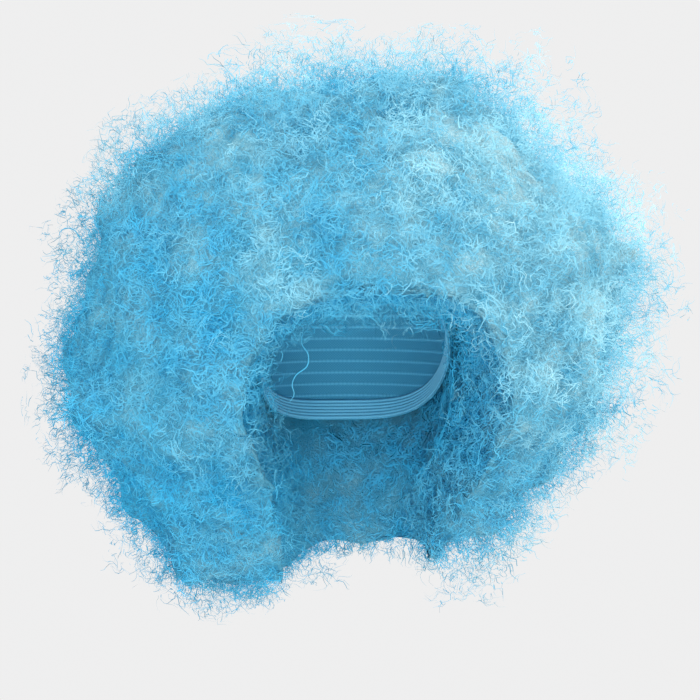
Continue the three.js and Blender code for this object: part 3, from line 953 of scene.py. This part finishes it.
class WigCapSettings(PropertyGroup):
    net_colour: colour_setting("Net colour", "Threads of the net", (0.075, 0.370, 0.560))
    hole_colour: colour_setting("Hole colour", "Between the net's threads", (0.045, 0.280, 0.450))
    weft_colour: colour_setting("Weft colour", "Rows of sewn weft", (0.100, 0.410, 0.600))
    elastic_colour: colour_setting("Elastic colour", "Ribs of the hem", (0.110, 0.430, 0.620))
    net_pitch: length_setting("Net pitch", "Size of the net's mesh", 0.0042)
    weft_pitch: length_setting("Weft pitch", "Distance between rows of weft", 0.0095)
    stitch_pitch: length_setting("Stitch pitch", "Length of a stitch", 0.0032)
    wall: length_setting("Wall", "Thickness of the cap", 0.0015)
    hem_width: length_setting("Hem width", "Width of the elastic", 0.016)
    hem_wall: length_setting("Hem wall", "Thickness of the elastic", 0.0012)
    hem_gap: length_setting("Hem gap", "Room between the cap and the elastic", 0.0003)
    rib_pitch: length_setting("Rib pitch", "Distance between the elastic's ribs", 0.0027)


class WigStageSettings(PropertyGroup):
    backdrop: colour_setting("Backdrop", "Light all round", (0.860, 0.860, 0.862))
    floor_colour: colour_setting("Floor", "The pale floor", (0.95, 0.95, 0.95))
    floor_drop: length_setting("Floor drop", "How far the floor lies below the crown", 3.2)
    key_power: power_setting("Key", "Lamp from the right", 72.0)
    top_power: power_setting("Top", "Lamp from above", 68.0)
    fill_power: power_setting("Fill", "Lamp from the front left", 58.0)
    low_power: power_setting("Low", "Lamp from below the front", 22.0)


# Operators


class WIG_OT_packed_hair(Operator):
    """Builds the dense hair in place of the solids of all its sections"""

    bl_idname = "wig.packed_hair"
    bl_label = "Packed Hair"

    def execute(self, context):
        hair = context.scene.wig_hair
        piece = new_object("packed_hair", packed_hair_mesh(hair), packed_hair_material(hair))
        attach(piece, "root")
        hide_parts(*("hair_" + section for section in SECTIONS))
        return {"FINISHED"}


class WIG_OT_undercoat(Operator):
    """Covers the dense hair with curly wisps that lie on it"""

    bl_idname = "wig.undercoat"
    bl_label = "Undercoat"

    def execute(self, context):
        add_layer(UNDERCOAT, context.scene.wig_hair)
        return {"FINISHED"}


class WIG_OT_overcoat(Operator):
    """Adds the fine wisps that stand out of the hair"""

    bl_idname = "wig.overcoat"
    bl_label = "Overcoat"

    def execute(self, context):
        add_layer(OVERCOAT, context.scene.wig_hair)
        return {"FINISHED"}


class WIG_OT_flyaways(Operator):
    """Adds single fibres that stand out further in open curls"""

    bl_idname = "wig.flyaways"
    bl_label = "Flyaways"

    def execute(self, context):
        add_layer(FLYAWAYS, context.scene.wig_hair)
        return {"FINISHED"}


class WIG_OT_strays(Operator):
    """Adds two stray curls that stand out alone: one over the face opening, one at the side"""

    bl_idname = "wig.strays"
    bl_label = "Strays"

    def execute(self, context):
        paths = np.stack([curve_through(knots, 48) for knots in STRAYS])
        mesh = tube_mesh("stray_curls", paths, STRAY_RADIUS)
        piece = new_object("stray_curls", mesh, loose_fibre(context.scene.wig_hair))
        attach(piece, "root")
        return {"FINISHED"}


class WIG_OT_cap(Operator):
    """Builds the smooth stretch-net cap in place of its solid"""

    bl_idname = "wig.cap"
    bl_label = "Cap"

    def execute(self, context):
        cap = context.scene.wig_cap
        piece = new_object("cap_net", cap_mesh(cap), net_material(cap))
        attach(piece, "root")
        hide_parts("wig_cap")
        return {"FINISHED"}


class WIG_OT_hem(Operator):
    """Builds the ribbed elastic hem in place of its solid"""

    bl_idname = "wig.hem"
    bl_label = "Hem"

    def execute(self, context):
        cap = context.scene.wig_cap
        piece = new_object("hem_elastic", hem_mesh(cap), elastic_material(cap))
        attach(piece, "root")
        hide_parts("cap_band")
        return {"FINISHED"}


class WIG_OT_stage(Operator):
    """Sets the floor, the light and the camera"""

    bl_idname = "wig.stage"
    bl_label = "Stage"

    def execute(self, context):
        stage = context.scene.wig_stage
        radius = 12
        angle = np.linspace(0, 2 * math.pi, 96, endpoint=False)
        x, y = radius * np.cos(angle), radius * np.sin(angle)
        ring = np.stack([x, y, 0 * angle - stage.floor_drop], axis=1)
        mesh = bpy.data.meshes.new("floor")
        mesh.from_pydata(ring.tolist(), [], [list(range(len(ring)))])
        floor = new_object("floor", mesh, plain_material("pale_floor", stage.floor_colour))
        world = bpy.data.worlds.new("backdrop")
        world.use_nodes = True
        background = world.node_tree.nodes["Background"]
        background.inputs["Color"].default_value = (*stage.backdrop, 1)
        context.scene.world = world
        context.scene.view_settings.view_transform = "Standard"
        lamps = [
            ("key", (2.5, 0.0, 0.5), stage.key_power, 2.8),
            ("top", (-0.3, -0.4, 2.6), stage.top_power, 2.8),
            ("fill", (-1.8, -2.1, 0.3), stage.fill_power, 3.0),
            ("low", (0.0, -1.8, -1.1), stage.low_power, 1.2),
        ]
        placed = [self.lamp(*facts) for facts in lamps]
        context.scene.camera = self.camera()
        return {"FINISHED"}

    def lamp(self, name, place, power, size):
        """A square lamp that looks at the ball's centre."""
        data = bpy.data.lights.new(name, "AREA")
        data.energy = power
        data.size = size
        lamp = bpy.data.objects.new(name, data)
        lamp.location = place
        aim = Vector(BALL_CENTRE) - Vector(place)
        lamp.rotation_euler = aim.to_track_quat("-Z", "Y").to_euler()
        bpy.context.scene.collection.objects.link(lamp)
        return lamp

    def camera(self):
        """A camera 2 m away, 8 degrees to the side and 2 above, that frames 567 mm at the wig."""
        azimuth, elevation, distance = math.radians(-8), math.radians(2), 2.0
        half_frame, aside, below = 0.2835, 0.00081, 0.02268
        level = math.cos(elevation)
        back = Vector((math.sin(azimuth) * level, -math.cos(azimuth) * level, math.sin(elevation)))
        right = Vector((math.cos(azimuth), math.sin(azimuth), 0))
        up = back.cross(right)
        aim = Vector(BALL_CENTRE) - right * aside - up * below
        data = bpy.data.cameras.new("camera")
        data.angle = 2 * math.atan(half_frame / distance)
        data.clip_end = 100
        camera = bpy.data.objects.new("camera", data)
        camera.location = aim + back * distance
        camera.rotation_euler = back.to_track_quat("Z", "Y").to_euler()
        bpy.context.scene.collection.objects.link(camera)
        return camera


class WIG_PT_panel(Panel):
    """Lists the wig's pieces in the sidebar"""

    bl_label = "Afro Wig"
    bl_idname = "WIG_PT_panel"
    bl_space_type = "VIEW_3D"
    bl_region_type = "UI"
    bl_category = "Wig"

    def draw(self, context):
        for operator in OPERATORS:
            self.layout.operator(operator.bl_idname)


OPERATORS = (
    WIG_OT_packed_hair,
    WIG_OT_undercoat,
    WIG_OT_overcoat,
    WIG_OT_flyaways,
    WIG_OT_strays,
    WIG_OT_cap,
    WIG_OT_hem,
    WIG_OT_stage,
)
SETTINGS = (
    (WigHairSettings, "wig_hair"),
    (WigCapSettings, "wig_cap"),
    (WigStageSettings, "wig_stage"),
)


def register():
    """Registers the settings, operators and panel."""
    for group, name in SETTINGS:
        bpy.utils.register_class(group)
        setattr(bpy.types.Scene, name, PointerProperty(type=group))
    for item in (*OPERATORS, WIG_PT_panel):
        bpy.utils.register_class(item)


def unregister():
    """Takes away what register added."""
    for item in (WIG_PT_panel, *reversed(OPERATORS)):
        bpy.utils.unregister_class(item)
    for group, name in reversed(SETTINGS):
        delattr(bpy.types.Scene, name)
        bpy.utils.unregister_class(group)


def main():
    """Builds every piece in order."""
    register()
    bpy.ops.wig.packed_hair()
    bpy.ops.wig.undercoat()
    bpy.ops.wig.overcoat()
    bpy.ops.wig.flyaways()
    bpy.ops.wig.strays()
    bpy.ops.wig.cap()
    bpy.ops.wig.hem()
    bpy.ops.wig.stage()


if __name__ == "__main__":
    main()
